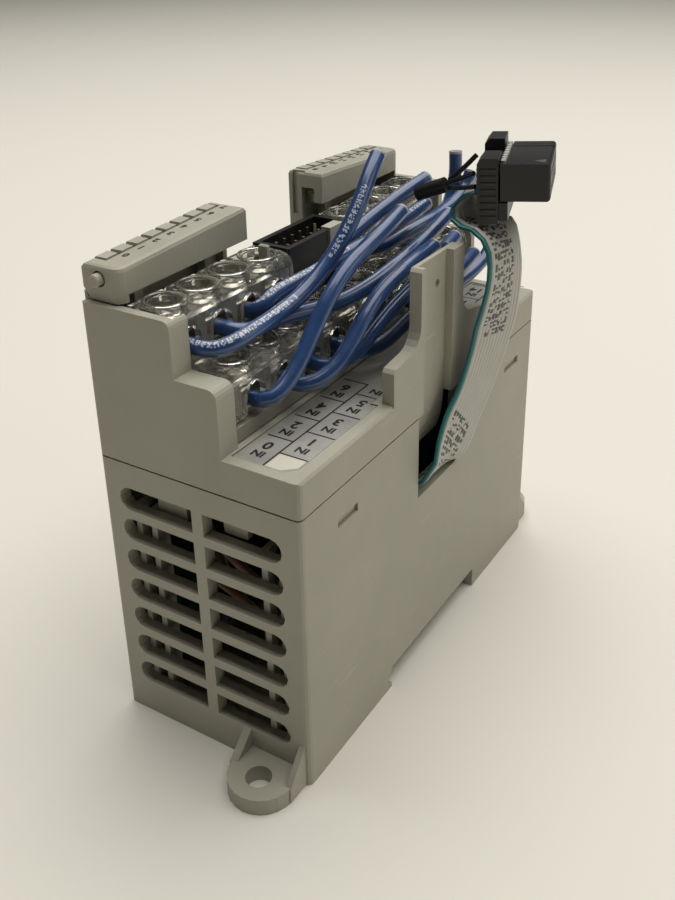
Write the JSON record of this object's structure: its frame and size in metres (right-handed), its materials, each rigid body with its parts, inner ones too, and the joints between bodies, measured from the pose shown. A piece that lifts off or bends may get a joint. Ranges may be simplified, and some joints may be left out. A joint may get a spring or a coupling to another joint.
{
  "type": "plc module",
  "caption": "Rail-mounted control module lying on its back, with stepped rows of covered screw terminals, blue field wires and a flat bus cable ending in a socket.",
  "frame": {"origin": "centre of the housing's back face, in the plane of its mounting tabs", "axes": "+Z is the module's depth, from its back to its terminals; +Y runs along its height, towards the end with the rail latch; +X points out of the side where the bus ribbon leaves"},
  "size_m": [0.0534, 0.11, 0.0975],
  "materials": {
    "housing_grey": "fine matt moulded",
    "clear_plastic": "clear moulded",
    "terminal_grey": "moulded",
    "light_pipe": "milky moulded",
    "black_plastic": "satin moulded",
    "steel": "zinc plated",
    "gold": "plated",
    "board_green": "solder resist",
    "card_silver": "printed foil",
    "wire_blue": "glossy insulation",
    "wire_brown": "glossy insulation",
    "ribbon_grey": "satin insulation"
  },
  "bodies": {
    "housing": {"base_housing": "housing_grey", "top_housing": "housing_grey", "led_bar_near": "housing_grey", "led_bar_far": "housing_grey", "door_pin_near": "housing_grey", "door_pin_far": "housing_grey", "key_post": "housing_grey", "cover_lower": "clear_plastic", "cover_upper_near": "clear_plastic", "cover_upper_far": "clear_plastic", "terminal_block_lower": "terminal_grey", "terminal_block_upper_near": "terminal_grey", "terminal_block_upper_far": "terminal_grey", "light_pipe_near": "light_pipe", "light_pipe_far": "light_pipe", "header_clip": "light_pipe", "bus_header": "black_plastic", "connector_body": "black_plastic", "connector_cap": "black_plastic", "pull_sleeve": "black_plastic", "pull_lead_upper": "black_plastic", "pull_lead_middle": "black_plastic", "pull_lead_lower": "black_plastic", "bus_header_pins": "gold", "power_board": "board_green", "input_board": "board_green", "label_card": "card_silver", "wire_upper_1": "wire_blue", "wire_upper_2": "wire_blue", "wire_upper_3": "wire_blue", "wire_upper_4": "wire_blue", "wire_upper_5": "wire_blue", "wire_upper_6": "wire_blue", "wire_lower_1": "wire_blue", "wire_lower_2": "wire_blue", "wire_lower_3": "wire_blue", "wire_lower_4": "wire_blue", "wire_lower_5": "wire_blue", "wire_lower_7": "wire_blue", "board_link_wire": "wire_brown", "ribbon_cable": "ribbon_grey"},
    "rail_latch": {"din_latch": "housing_grey"},
    "screw_upper_1": {"screw_upper_1": "steel"},
    "screw_upper_2": {"screw_upper_2": "steel"},
    "screw_upper_3": {"screw_upper_3": "steel"},
    "screw_upper_4": {"screw_upper_4": "steel"},
    "screw_upper_5": {"screw_upper_5": "steel"},
    "screw_upper_6": {"screw_upper_6": "steel"},
    "screw_upper_7": {"screw_upper_7": "steel"},
    "screw_upper_8": {"screw_upper_8": "steel"},
    "screw_lower_1": {"screw_lower_1": "steel"},
    "screw_lower_2": {"screw_lower_2": "steel"},
    "screw_lower_3": {"screw_lower_3": "steel"},
    "screw_lower_4": {"screw_lower_4": "steel"},
    "screw_lower_5": {"screw_lower_5": "steel"},
    "screw_lower_6": {"screw_lower_6": "steel"},
    "screw_lower_7": {"screw_lower_7": "steel"},
    "screw_lower_8": {"screw_lower_8": "steel"},
    "screw_lower_9": {"screw_lower_9": "steel"},
    "screw_lower_10": {"screw_lower_10": "steel"}
  },
  "joints": [
    {"name": "rail_latch_slide", "type": "slide", "parent": "housing", "child": "rail_latch", "axis": [0, 1, 0], "range_m": [0, 0.003]},
    {"name": "screw_upper_1_turn", "type": "hinge", "parent": "housing", "child": "screw_upper_1", "pos_m": [-0.0081, -0.03875, 0.0766], "axis": [0, 0, 1], "continuous": true},
    {"name": "screw_upper_2_turn", "type": "hinge", "parent": "housing", "child": "screw_upper_2", "pos_m": [-0.0081, -0.03065, 0.0766], "axis": [0, 0, 1], "continuous": true},
    {"name": "screw_upper_3_turn", "type": "hinge", "parent": "housing", "child": "screw_upper_3", "pos_m": [-0.0081, -0.02255, 0.0766], "axis": [0, 0, 1], "continuous": true},
    {"name": "screw_upper_4_turn", "type": "hinge", "parent": "housing", "child": "screw_upper_4", "pos_m": [-0.0081, -0.01445, 0.0766], "axis": [0, 0, 1], "continuous": true},
    {"name": "screw_upper_5_turn", "type": "hinge", "parent": "housing", "child": "screw_upper_5", "pos_m": [-0.0081, 0.01445, 0.0766], "axis": [0, 0, 1], "continuous": true},
    {"name": "screw_upper_6_turn", "type": "hinge", "parent": "housing", "child": "screw_upper_6", "pos_m": [-0.0081, 0.02255, 0.0766], "axis": [0, 0, 1], "continuous": true},
    {"name": "screw_upper_7_turn", "type": "hinge", "parent": "housing", "child": "screw_upper_7", "pos_m": [-0.0081, 0.03065, 0.0766], "axis": [0, 0, 1], "continuous": true},
    {"name": "screw_upper_8_turn", "type": "hinge", "parent": "housing", "child": "screw_upper_8", "pos_m": [-0.0081, 0.03875, 0.0766], "axis": [0, 0, 1], "continuous": true},
    {"name": "screw_lower_1_turn", "type": "hinge", "parent": "housing", "child": "screw_lower_1", "pos_m": [0.0001, -0.0337, 0.0672], "axis": [0, 0, 1], "continuous": true},
    {"name": "screw_lower_2_turn", "type": "hinge", "parent": "housing", "child": "screw_lower_2", "pos_m": [0.0001, -0.0256, 0.0672], "axis": [0, 0, 1], "continuous": true},
    {"name": "screw_lower_3_turn", "type": "hinge", "parent": "housing", "child": "screw_lower_3", "pos_m": [0.0001, -0.0175, 0.0672], "axis": [0, 0, 1], "continuous": true},
    {"name": "screw_lower_4_turn", "type": "hinge", "parent": "housing", "child": "screw_lower_4", "pos_m": [0.0001, -0.0094, 0.0672], "axis": [0, 0, 1], "continuous": true},
    {"name": "screw_lower_5_turn", "type": "hinge", "parent": "housing", "child": "screw_lower_5", "pos_m": [0.0001, -0.0013, 0.0672], "axis": [0, 0, 1], "continuous": true},
    {"name": "screw_lower_6_turn", "type": "hinge", "parent": "housing", "child": "screw_lower_6", "pos_m": [0.0001, 0.0068, 0.0672], "axis": [0, 0, 1], "continuous": true},
    {"name": "screw_lower_7_turn", "type": "hinge", "parent": "housing", "child": "screw_lower_7", "pos_m": [0.0001, 0.0149, 0.0672], "axis": [0, 0, 1], "continuous": true},
    {"name": "screw_lower_8_turn", "type": "hinge", "parent": "housing", "child": "screw_lower_8", "pos_m": [0.0001, 0.023, 0.0672], "axis": [0, 0, 1], "continuous": true},
    {"name": "screw_lower_9_turn", "type": "hinge", "parent": "housing", "child": "screw_lower_9", "pos_m": [0.0001, 0.0311, 0.0672], "axis": [0, 0, 1], "continuous": true},
    {"name": "screw_lower_10_turn", "type": "hinge", "parent": "housing", "child": "screw_lower_10", "pos_m": [0.0001, 0.0392, 0.0672], "axis": [0, 0, 1], "continuous": true}
  ]
}
